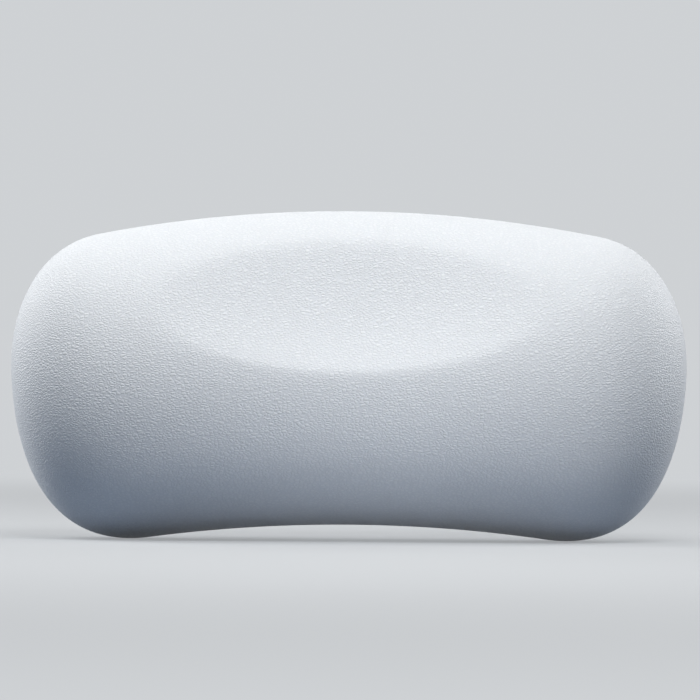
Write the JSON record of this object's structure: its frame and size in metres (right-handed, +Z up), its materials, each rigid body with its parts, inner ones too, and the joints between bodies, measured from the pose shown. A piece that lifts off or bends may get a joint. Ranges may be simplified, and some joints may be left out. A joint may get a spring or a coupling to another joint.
{
  "type": "bath pillow",
  "caption": "Moulded foam bath pillow with a grained skin, arched edges and a shallow head dish, held to a bath wall by screw-in suction cups.",
  "frame": {"origin": "on the bath wall, at the centre of the pattern of the four suction cups", "axes": "+X to the right as seen from the front, +Y into the wall so that the pillow's front faces -Y, +Z up"},
  "size_m": [0.3, 0.0881, 0.1459],
  "materials": {
    "skin": "white polyurethane skin with a fine leather grain, satin",
    "foam": "cream flexible polyurethane foam, open and matt",
    "board": "natural polypropylene, matt",
    "washer": "white nylon, satin",
    "cup": "clear soft vinyl, glossy",
    "steel": "zinc-plated steel"
  },
  "bodies": {
    "pillow": {"front_skin": "skin", "back_skin": "skin", "foam_core": "foam", "insert_board": "board", "nut_upper_left": "steel", "nut_upper_right": "steel", "nut_lower_left": "steel", "nut_lower_right": "steel"},
    "washer_upper_left": {"washer_upper_left": "washer"},
    "washer_upper_right": {"washer_upper_right": "washer"},
    "washer_lower_left": {"washer_lower_left": "washer"},
    "washer_lower_right": {"washer_lower_right": "washer"},
    "cup_upper_left": {"suction_cup_upper_left": "cup", "stud_upper_left": "steel"},
    "cup_upper_right": {"suction_cup_upper_right": "cup", "stud_upper_right": "steel"},
    "cup_lower_left": {"suction_cup_lower_left": "cup", "stud_lower_left": "steel"},
    "cup_lower_right": {"suction_cup_lower_right": "cup", "stud_lower_right": "steel"}
  },
  "joints": [
    {"name": "upper_left_travel", "type": "slide", "parent": "pillow", "child": "washer_upper_left", "axis": [0, 1, 0], "range_m": [0, 0.009]},
    {"name": "upper_left_turn", "type": "hinge", "parent": "washer_upper_left", "child": "cup_upper_left", "pos_m": [-0.08, 0, 0.03], "axis": [0, 1, 0], "range_deg": [0, 3240]},
    {"name": "upper_right_travel", "type": "slide", "parent": "pillow", "child": "washer_upper_right", "axis": [0, 1, 0], "range_m": [0, 0.009]},
    {"name": "upper_right_turn", "type": "hinge", "parent": "washer_upper_right", "child": "cup_upper_right", "pos_m": [0.08, 0, 0.03], "axis": [0, 1, 0], "range_deg": [0, 3240]},
    {"name": "lower_left_travel", "type": "slide", "parent": "pillow", "child": "washer_lower_left", "axis": [0, 1, 0], "range_m": [0, 0.009]},
    {"name": "lower_left_turn", "type": "hinge", "parent": "washer_lower_left", "child": "cup_lower_left", "pos_m": [-0.08, 0, -0.03], "axis": [0, 1, 0], "range_deg": [0, 3240]},
    {"name": "lower_right_travel", "type": "slide", "parent": "pillow", "child": "washer_lower_right", "axis": [0, 1, 0], "range_m": [0, 0.009]},
    {"name": "lower_right_turn", "type": "hinge", "parent": "washer_lower_right", "child": "cup_lower_right", "pos_m": [0.08, 0, -0.03], "axis": [0, 1, 0], "range_deg": [0, 3240]}
  ],
  "couplings": [
    {"joint": "upper_left_turn", "follows": "upper_left_travel", "rad_per_m": 6283.2},
    {"joint": "upper_right_turn", "follows": "upper_right_travel", "rad_per_m": 6283.2},
    {"joint": "lower_left_turn", "follows": "lower_left_travel", "rad_per_m": 6283.2},
    {"joint": "lower_right_turn", "follows": "lower_right_travel", "rad_per_m": 6283.2}
  ]
}
